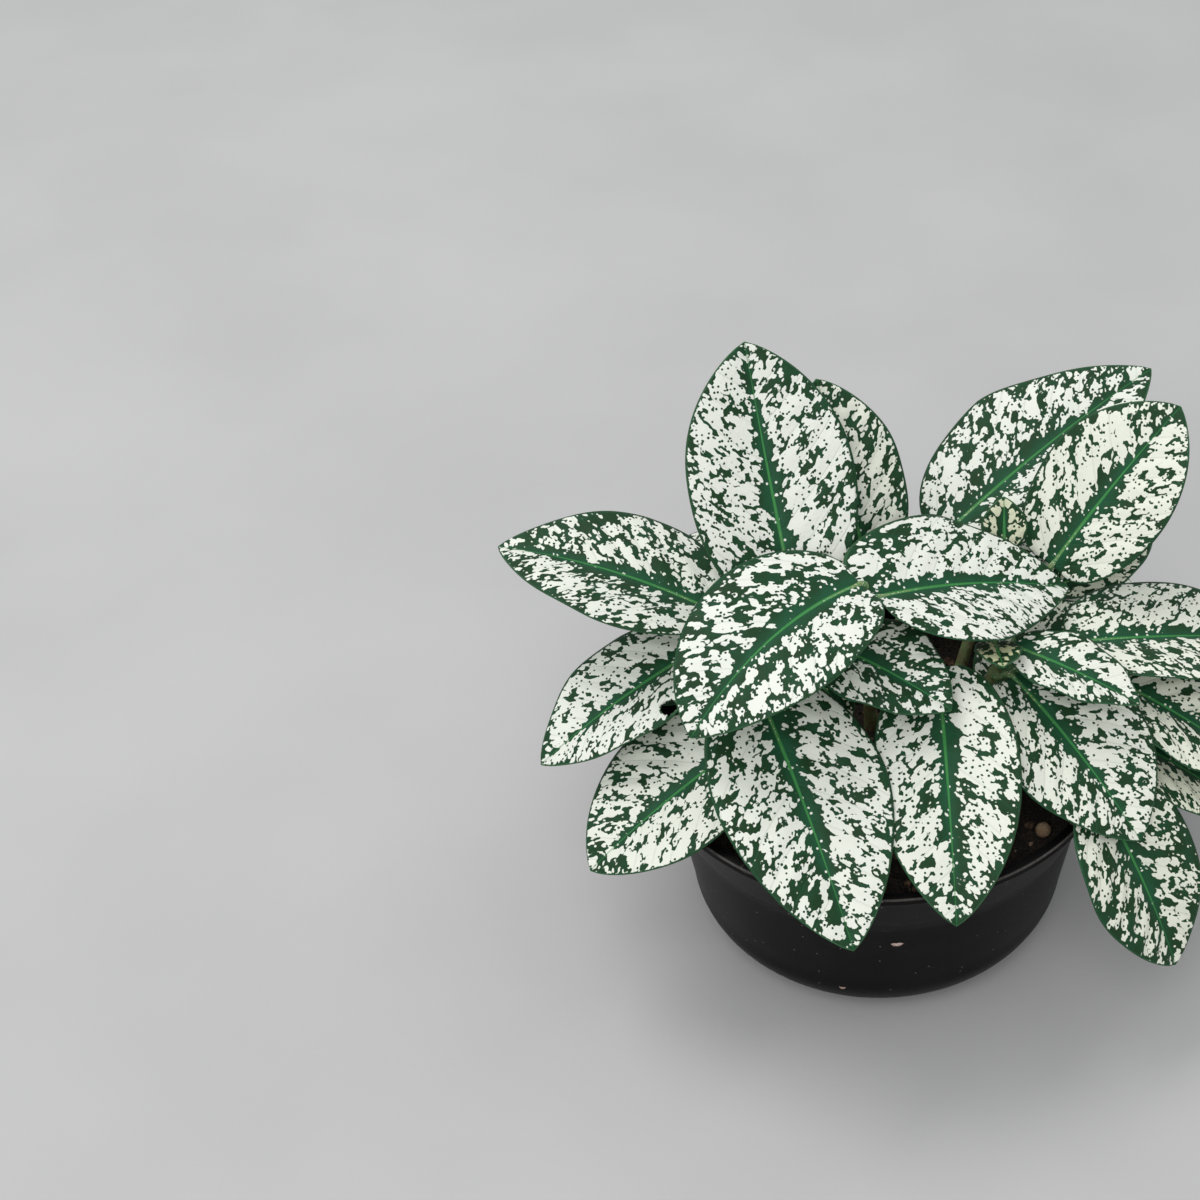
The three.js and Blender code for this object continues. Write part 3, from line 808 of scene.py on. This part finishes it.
def cut_hole(pairs, gone, columns):
    """Leaves out the quads that touch a hole's points, and walls the hole from top to underside."""
    ring = 4 * columns
    kept = [pair for pair in pairs if not gone.intersection(pair[0])]
    edges = {edge for face, _ in kept for edge in zip(face, face[1:] + face[:1])}
    walls = []
    for face, spots in pairs:
        if not gone.intersection(face) or face[0] % ring >= 2 * columns:
            continue
        for corner in range(4):
            a, b = face[corner], face[(corner + 1) % 4]
            if (b, a) in edges:
                under_a = a + ring - 2 * (a % ring)
                under_b = b + ring - 2 * (b % ring)
                near, far = spots[corner], spots[(corner + 1) % 4]
                walls.append(((a, b, under_b, under_a), [near, far, far, near]))
    return kept + walls


def blade_rings(name, blade, shares, columns, seed):
    """The blade's points, their leaf_place and leaf_part values, and which points lie in a hole."""
    style = leaf_style(name)
    hole = HOLES.get(name)
    points, places, parts = [], [], []
    gone = set()
    for row_share in shares:
        for k in range(4 * columns):
            share, v = row_share, blade_side(k, columns)
            under = 1.0 if k >= 2 * columns else 0.0
            gap = blade.width
            if hole:
                share, v, gap = pull_to_hole(blade, share, v, hole)
            if gap <= 0:
                gone.add(len(points))
            place, normal, reach, half = blade_point(blade, share, v, style)
            rise = BLADE_THICKNESS / 2 * (1 - abs(v) ** 6)
            points.append(place + normal * (-rise if under else rise))
            places.append((share * blade.length, v * half, min(half - reach, max(gap, 0.0))))
            parts.append((share, under, seed))
    return points, places, parts, gone


def leaf_mesh(name, points, pairs, blade_faces, values):
    """The leaf's mesh, with the values that its material reads and its layout for the bake."""
    mesh = bpy.data.meshes.new(name)
    mesh.from_pydata([tuple(place * MM) for place in points], [], [face for face, _ in pairs])
    shade_smooth(mesh)
    for label, rows in values.items():
        layer = mesh.attributes.new(label, "FLOAT_VECTOR", "POINT")
        layer.data.foreach_set("vector", np.array(rows, dtype=np.float32).ravel())
    layout = mesh.uv_layers.new(name="OFBake")
    spots = [spot for _, corners in pairs for spot in corners]
    layout.data.foreach_set("uv", np.array(spots, dtype=np.float32).ravel())
    mesh.polygons.foreach_set("material_index", [0] * blade_faces + [1] * (len(pairs) - blade_faces))
    return mesh


def build_leaf(name, row, seed, looks):
    """One leaf: a closed blade, and its petiole from the stem that runs on as the midrib under it."""
    blade = Blade(row)
    columns = max(8, int(BLADE_COLUMNS * min(1.0, blade.width / 30)))
    rows = max(24, int(BLADE_ROWS * min(1.0, blade.length / 50)))
    shares = [step / rows + 0.045 * math.sin(2 * math.pi * step / rows) for step in range(rows + 1)]
    points, places, parts, gone = blade_rings(name, blade, shares, columns, seed)

    def blade_spot(step, k, side):
        strip = UNDER_STRIP if side >= 2 * columns else TOP_STRIP
        across = strip + BLADE_STRIP_WIDTH * (1 - blade_side(k, columns)) / 2
        return STRIP_START + STRIP_LENGTH * shares[step], across

    pairs = textured_rings(rows + 1, 4 * columns, blade_spot)
    if gone:
        pairs = cut_hole(pairs, gone, columns)
    blade_faces = len(pairs)

    tube_points = petiole_points(row, blade)
    tube_rings = len(tube_points) // PETIOLE_SIDES

    def tube_spot(step, turn, _):
        across = PETIOLE_STRIP + PETIOLE_STRIP_WIDTH * turn / PETIOLE_SIDES
        return STRIP_START + STRIP_LENGTH * step / (tube_rings - 1), across

    pairs += textured_rings(tube_rings, PETIOLE_SIDES, tube_spot, first=len(points))
    points += tube_points
    places += [(0.0, 0.0, 0.0)] * len(tube_points)
    parts += [(0.0, 0.0, seed)] * len(tube_points)

    look = LEAF_LOOKS.get(name, USUAL_LOOK)
    values = {"leaf_place": places, "leaf_part": parts, "leaf_look": [look] * len(points)}
    mesh = leaf_mesh(name, points, pairs, blade_faces, values)
    if gone:
        remove_loose(mesh)
    add_piece(name + "_fine", mesh, looks, [name])


def remove_loose(mesh):
    """Takes out the points that no face uses."""
    bm = bmesh.new()
    bm.from_mesh(mesh)
    bmesh.ops.delete(bm, geom=[vert for vert in bm.verts if not vert.link_faces], context="VERTS")
    bm.to_mesh(mesh)
    bm.free()


def petiole_points(row, blade):
    """Rings round the petiole from the stem to the blade, running on as the raised midrib under it."""
    share = stem_share(row.stem, row.node)
    axis = bezier_slope(*stem_points(row.stem), share).normalized()
    middle = bezier(*stem_points(row.stem), share)
    foot = Vector(row.base)
    reach = foot - middle
    outward = (reach - axis * reach.dot(axis)).normalized()
    start = middle + outward * (STEM_RADIUS - 0.35)
    pull = (foot - start).length / 3
    curve = (start, start + outward * pull, foot - blade.alongs[0] * pull, foot)
    path = []
    for step in range(PETIOLE_RINGS):
        t = step / PETIOLE_RINGS
        swell = 1 + 0.55 * math.exp(-(t / 0.10) ** 2)
        path.append((bezier(*curve, t), bezier_slope(*curve, t).normalized(), PETIOLE_RADIUS * swell))
    for step in range(MIDRIB_RINGS):
        t = step / (MIDRIB_RINGS - 1) * MIDRIB_REACH
        centre, along, _, normal = blade.at(t)
        radius = PETIOLE_RADIUS * (1 - t / MIDRIB_REACH) ** 0.8 * 0.92 + 0.06
        sink = BLADE_THICKNESS / 2 + 0.25 * radius + 0.18
        ease = min(t / 0.05, 1.0)
        path.append((centre - normal * sink * ease, along, radius))

    def side_of(along):
        return (blade.sides[0] - along * along.dot(blade.sides[0])).normalized()

    return tube(path, side_of, PETIOLE_SIDES)


def build_stem(name, material):
    """A stem with swollen nodes where its petioles leave it, from its root in the soil to its top."""
    curve = stem_points(name)
    nodes = [stem_share(name, row.node) for row in LEAVES.values() if row.stem == name]
    root = curve[0] - Vector((0, 0, STEM_ROOT_DEPTH))
    path = []
    for step in range(STEM_ROOT_RINGS):
        path.append((root.lerp(curve[0], step / STEM_ROOT_RINGS), Vector((0, 0, 1)), STEM_RADIUS))
    for step in range(STEM_RINGS + 1):
        share = step / STEM_RINGS
        swell = sum(math.exp(-((share - node) / NODE_REACH) ** 2) for node in nodes)
        radius = STEM_RADIUS * (1 - STEM_TAPER * share) * (1 + NODE_SWELL * min(swell, 1.0))
        path.append((bezier(*curve, share), bezier_slope(*curve, share).normalized(), radius))

    def side_of(along):
        return Vector((0, 1, 0)).cross(along).normalized()

    points = tube(path, side_of, STEM_SIDES, STEM_RIPPLE)
    mesh = smooth_mesh(name + "_stem", points, join_rings(len(path), STEM_SIDES, True, True))
    add_piece(name + "_stem_fine", mesh, [material], [name + "_stem"])


def lathe(profile, segments):
    """A closed turned mesh from (radius, height) points that start and end on the axis."""
    bm = bmesh.new()
    rings = []
    for radius, height in profile:
        angles = full_turn(segments) if radius else [0.0]
        rings.append([bm.verts.new(point(*polar(radius, angle), height)) for angle in angles])
    for low, high in zip(rings, rings[1:]):
        for step in range(segments):
            after = (step + 1) % segments
            around = ((low, step), (low, after), (high, after), (high, step))
            corners = [ring[turn % len(ring)] for ring, turn in around]
            bm.faces.new(list(dict.fromkeys(corners)))
    bmesh.ops.recalc_face_normals(bm, faces=bm.faces)
    return take_mesh(bm, "turned")


def foot_arc(inset, steps):
    """The rounded foot from the flat base up to the wall, moved inwards by `inset`."""
    arc = []
    span = WALL_FOOT_RADIUS - FLAT_FOOT_RADIUS
    for step in range(steps + 1):
        angle = step / steps * math.pi / 2
        radius = FLAT_FOOT_RADIUS + span * math.sin(angle)
        height = FOOT_ROUND_HEIGHT * (1 - math.cos(angle))
        nx, nz = FOOT_ROUND_HEIGHT * math.sin(angle), -span * math.cos(angle)
        size = math.hypot(nx, nz)
        arc.append((radius - nx / size * inset, height - nz / size * inset))
    return arc


def inner_radius(height):
    """The inner radius of the pot's wall at a height above the rounded foot."""
    if height < LEDGE_HEIGHT:
        share = (height - FOOT_ROUND_HEIGHT) / (LEDGE_HEIGHT - FOOT_ROUND_HEIGHT)
        return WALL_FOOT_RADIUS + (LEDGE_RADIUS - LEDGE_STEP - WALL_FOOT_RADIUS) * share - WALL_THICKNESS
    share = (height - LEDGE_HEIGHT) / LEDGE_BELOW_RIM
    return LEDGE_RADIUS + (RIM_RADIUS - RIM_OVERHANG - LEDGE_RADIUS) * share - WALL_THICKNESS


def even_steps(start, end, parts):
    """The points that part the straight line between two (radius, height) points evenly."""
    points = []
    for step in range(1, parts):
        share = step / parts
        points.append(tuple(a + (b - a) * share for a, b in zip(start, end)))
    return points


def pot_profile():
    """The pot's section: out along the foot, up the wall, over the lip and back down inside."""
    ledge_foot = LEDGE_RADIUS - LEDGE_STEP
    ledge_top = LEDGE_HEIGHT + LEDGE_ROUND
    wall_top = RIM_RADIUS - RIM_OVERHANG
    rim_foot = POT_HEIGHT - RIM_HEIGHT
    lip_inside = inner_radius(POT_HEIGHT)
    outside = [(0, 0), (FLAT_FOOT_RADIUS - 2, 0)] + foot_arc(0, FOOT_STEPS)
    outside += even_steps((WALL_FOOT_RADIUS, FOOT_ROUND_HEIGHT), (ledge_foot, LEDGE_HEIGHT), 8)
    outside += [
        (ledge_foot, LEDGE_HEIGHT - 0.1),
        (ledge_foot + 0.15, LEDGE_HEIGHT + 0.05),
        (LEDGE_RADIUS - 0.2, LEDGE_HEIGHT + 0.35),
        (LEDGE_RADIUS, ledge_top),
    ]
    outside += even_steps((LEDGE_RADIUS, ledge_top), (wall_top, rim_foot), 5)
    outside += [
        (wall_top, rim_foot - 0.1),
        (wall_top + 0.2, rim_foot + 0.05),
        (RIM_RADIUS - 0.3, rim_foot + 0.15),
        (RIM_RADIUS, rim_foot + LIP_ROUND),
        (RIM_RADIUS, POT_HEIGHT - LIP_ROUND),
        (RIM_RADIUS - 0.15, POT_HEIGHT - 0.15),
        (RIM_RADIUS - LIP_ROUND, POT_HEIGHT),
    ]
    inside = [(lip_inside + 0.3, POT_HEIGHT), (lip_inside, POT_HEIGHT - 0.3)]
    heights = [POT_HEIGHT - 3 * step for step in range(1, 5)]
    heights += [LEDGE_HEIGHT + (FOOT_ROUND_HEIGHT - LEDGE_HEIGHT) * step / 6 for step in range(6)]
    inside += [(inner_radius(height), height) for height in heights]
    inside += foot_arc(WALL_THICKNESS, FOOT_STEPS)[::-1]
    inside += [(FLAT_FOOT_RADIUS - 2, WALL_THICKNESS), (0, WALL_THICKNESS)]
    return outside + inside


def build_pot(material):
    """The thin moulded pot, with its drainage holes cut through the foot."""
    shell = new_object("pot_shell", lathe(pot_profile(), POT_SEGMENTS))
    low, high = DRILL_SPAN
    for angle in full_turn(DRAIN_HOLES):
        drill_mesh = lathe([(0, low), (DRAIN_RADIUS, low), (DRAIN_RADIUS, high), (0, high)], DRILL_SEGMENTS)
        drill = new_object("drill", drill_mesh)
        drill.location = point(*polar(DRAIN_CIRCLE, angle), 0)
        cut = shell.modifiers.new("cut", "BOOLEAN")
        cut.operation = "DIFFERENCE"
        cut.object = drill
    graph = bpy.context.evaluated_depsgraph_get()
    mesh = bpy.data.meshes.new_from_object(shell.evaluated_get(graph))
    mesh.name = "pot"
    for piece in [shell] + [modifier.object for modifier in shell.modifiers]:
        bpy.data.objects.remove(piece)
    shade_smooth(mesh)
    mesh.set_sharp_from_angle(angle=math.radians(SHARP_ANGLE))
    add_piece("pot_fine", mesh, [material], ["pot"])


def build_fleck(material):
    """The small curled flake of dry skin on the pot's front, and the dirt spot below it."""
    bm = bmesh.new()
    for angle, height, length, width in FLECKS:
        radius = inner_radius(max(height, FOOT_ROUND_HEIGHT)) + WALL_THICKNESS + 0.15
        if height < FOOT_ROUND_HEIGHT:
            radius -= 0.3
        for vert in bmesh.ops.create_icosphere(bm, subdivisions=3, radius=1.0)["verts"]:
            x, y, z = vert.co
            curl = 0.35 * x * x
            spread = width * (0.5 + 0.25 * noise.noise(Vector((x * 2, height, 0))))
            around = math.radians(angle) + (x * length / 2) / radius
            out = radius + 0.22 * y
            vert.co = point(*polar(out, around), height + z * spread * 0.6 + curl)
    mesh = take_mesh(bm, "pot_fleck")
    shade_smooth(mesh)
    add_piece("pot_fleck", mesh, [material])


def soil_edge():
    """The radius of the soil's top at its edge."""
    return inner_radius(SOIL_EDGE_HEIGHT) - SOIL_GAP


def soil_height(x, y):
    """The height of the soil's rough top, which rises a little from the wall to a flat middle."""
    share = (soil_edge() - math.hypot(x, y)) / (soil_edge() - SOIL_CROWN_RADIUS)
    share = min(max(share, 0.0), 1.0)
    rough = 0.0
    for layer, (size, fineness) in enumerate(SOIL_NOISE):
        rough += size * noise.noise(Vector((x, y, 4 * layer)) * fineness)
    return SOIL_EDGE_HEIGHT + SOIL_CROWN * share + rough - SOIL_SINK


def build_soil(material):
    """The soil as one closed body with a rough crown, filling the pot's inside."""
    clear = WALL_THICKNESS + SOIL_GAP
    points = []
    under = [(12.0, clear)] + foot_arc(clear, 6)
    for height in (24, 33, LEDGE_HEIGHT, 46):
        under.append((inner_radius(height) - SOIL_GAP, height))
    for radius, height in under:
        for angle in full_turn(SOIL_SIDES):
            points.append(Vector((*polar(radius, angle), height)))
    for ring in range(SOIL_RINGS):
        radius = soil_edge() * (1 - ring / SOIL_RINGS) + 0.3 * ring / SOIL_RINGS
        for angle in full_turn(SOIL_SIDES):
            x, y = polar(radius, angle)
            points.append(Vector((x, y, soil_height(x, y))))
    mesh = smooth_mesh("soil", points, join_rings(len(under) + SOIL_RINGS, SOIL_SIDES, True, True))
    add_piece("soil_fine", mesh, [material], ["soil"])


def bits_may_lie(x, y):
    """Whether a place on the soil is clear of the stems and the pebble."""
    if min(math.dist((x, y), root) for root, _ in STEMS.values()) < STEM_RADIUS + BITS_CLEARANCE:
        return False
    return math.dist((x, y), PEBBLE_PLACE) >= PEBBLE_RADIUS + BITS_CLEARANCE


def rotate(a, b, angle):
    """A place turned about the origin."""
    return a * math.cos(angle) - b * math.sin(angle), a * math.sin(angle) + b * math.cos(angle)


def build_bits(name, material, count, size, flat, seed):
    """Loose bits scattered on the soil, each a small irregular lump of its own size and turn."""
    rng = random.Random(seed)
    bm = bmesh.new()
    placed = 0
    while placed < count:
        radius = soil_edge() * math.sqrt(rng.random()) * BITS_EDGE_SHARE
        x, y = polar(radius, rng.uniform(0, 2 * math.pi))
        if not bits_may_lie(x, y):
            continue
        length = rng.uniform(*size)
        if radius + length > soil_edge():
            continue
        width = length * rng.uniform(0.45, 0.8)
        tall = length * rng.uniform(*flat)
        spin = rng.uniform(0, math.pi)
        tilt = rng.uniform(-0.5, 0.5)
        height = soil_height(x, y) + tall * 0.25
        for vert in bmesh.ops.create_icosphere(bm, subdivisions=2, radius=1.0)["verts"]:
            push = 1 + 0.45 * noise.noise(vert.co * 1.6 + Vector((placed * 3.1, 0, 0)))
            px = vert.co.x * length / 2 * push
            py = vert.co.y * width / 2 * push
            pz = vert.co.z * tall / 2 * push
            px, pz = rotate(px, pz, tilt)
            px, py = rotate(px, py, spin)
            vert.co = point(x + px, y + py, height + pz)
        placed += 1
    add_piece(name, take_mesh(bm, name), [material])


def build_pebble(material):
    """The round clay pebble, slightly lumpy, with one small pore."""
    x, y = PEBBLE_PLACE
    height = SOIL_EDGE_HEIGHT + SOIL_CROWN * 0.2 + PEBBLE_RADIUS + 0.35
    bm = bmesh.new()
    bmesh.ops.create_icosphere(bm, subdivisions=5, radius=1.0)
    pore = Vector(PEBBLE_PORE).normalized()
    for vert in bm.verts:
        lump = 1 + 0.05 * noise.noise(vert.co * 2.0) + 0.02 * noise.noise(vert.co * 7.0)
        lump -= 0.10 * math.exp(-((vert.co - pore).length / 0.16) ** 2)
        place = vert.co * lump * PEBBLE_RADIUS
        vert.co = point(x + place.x, y + place.y, height + place.z)
    mesh = take_mesh(bm, "soil_pebble")
    shade_smooth(mesh)
    add_piece("soil_pebble_fine", mesh, [material], ["soil_pebble"])


def add_light(name, place, size, power):
    """A round area light aimed at the plant."""
    data = bpy.data.lights.new(name, "AREA")
    data.shape = "DISK"
    data.size = size
    data.energy = power
    light = new_object(name, data)
    light.location = place
    light.rotation_euler = (Vector(LIGHT_TARGET) - Vector(place)).to_track_quat("-Z", "Y").to_euler()


def add_studio():
    """A plain grey floor, an even sky and two soft lights."""
    mesh = bpy.data.meshes.new("floor")
    corners = [(x * FLOOR_REACH, y * FLOOR_REACH, 0) for x, y in ((-1, -1), (1, -1), (1, 1), (-1, 1))]
    mesh.from_pydata(corners, [], [(0, 1, 2, 3)])
    mesh.materials.append(floor_material())
    new_object("floor", mesh)
    scene = bpy.context.scene
    scene.world = bpy.data.worlds.new("studio")
    scene.world.use_nodes = True
    sky = scene.world.node_tree.nodes["Background"]
    sky.inputs["Color"].default_value = SKY_COLOUR
    sky.inputs["Strength"].default_value = SKY_STRENGTH
    for name, (place, size, power) in LIGHTS.items():
        add_light(name, place, size, power)
    scene.view_settings.view_transform = "Standard"


add_camera()
leaf_looks = [leaf_material(), petiole_material()]
for index, (leaf_name, leaf_row) in enumerate(LEAVES.items()):
    build_leaf(leaf_name, leaf_row, SEED_STEP * index, leaf_looks)
stem_look = stem_material()
for stem_name in STEMS:
    build_stem(stem_name, stem_look)
build_pot(pot_material())
build_soil(soil_material("soil_dark", SOIL_DARK, SOIL_BROWN, 1.4))
bit_looks = {
    "soil_crumbs": soil_material("soil_crumb", SOIL_DARK, SOIL_BROWN, 2.0),
    "soil_bark_bits": soil_material("soil_bark", SOIL_BROWN, BARK_BROWN, 1.1),
    "soil_pale_grains": soil_material("soil_grain", BARK_BROWN, PALE_GRAIN, 2.2),
}
for bits_name, bits_look in bit_looks.items():
    build_bits(bits_name, bits_look, *BITS[bits_name])
build_fleck(soil_material("dry_skin", FLAKE_PINK, FLAKE_PALE, 1.2))
build_pebble(soil_material("pebble_clay", BARK_BROWN, PEBBLE_TAN, 1.9, 0.85))
add_studio()
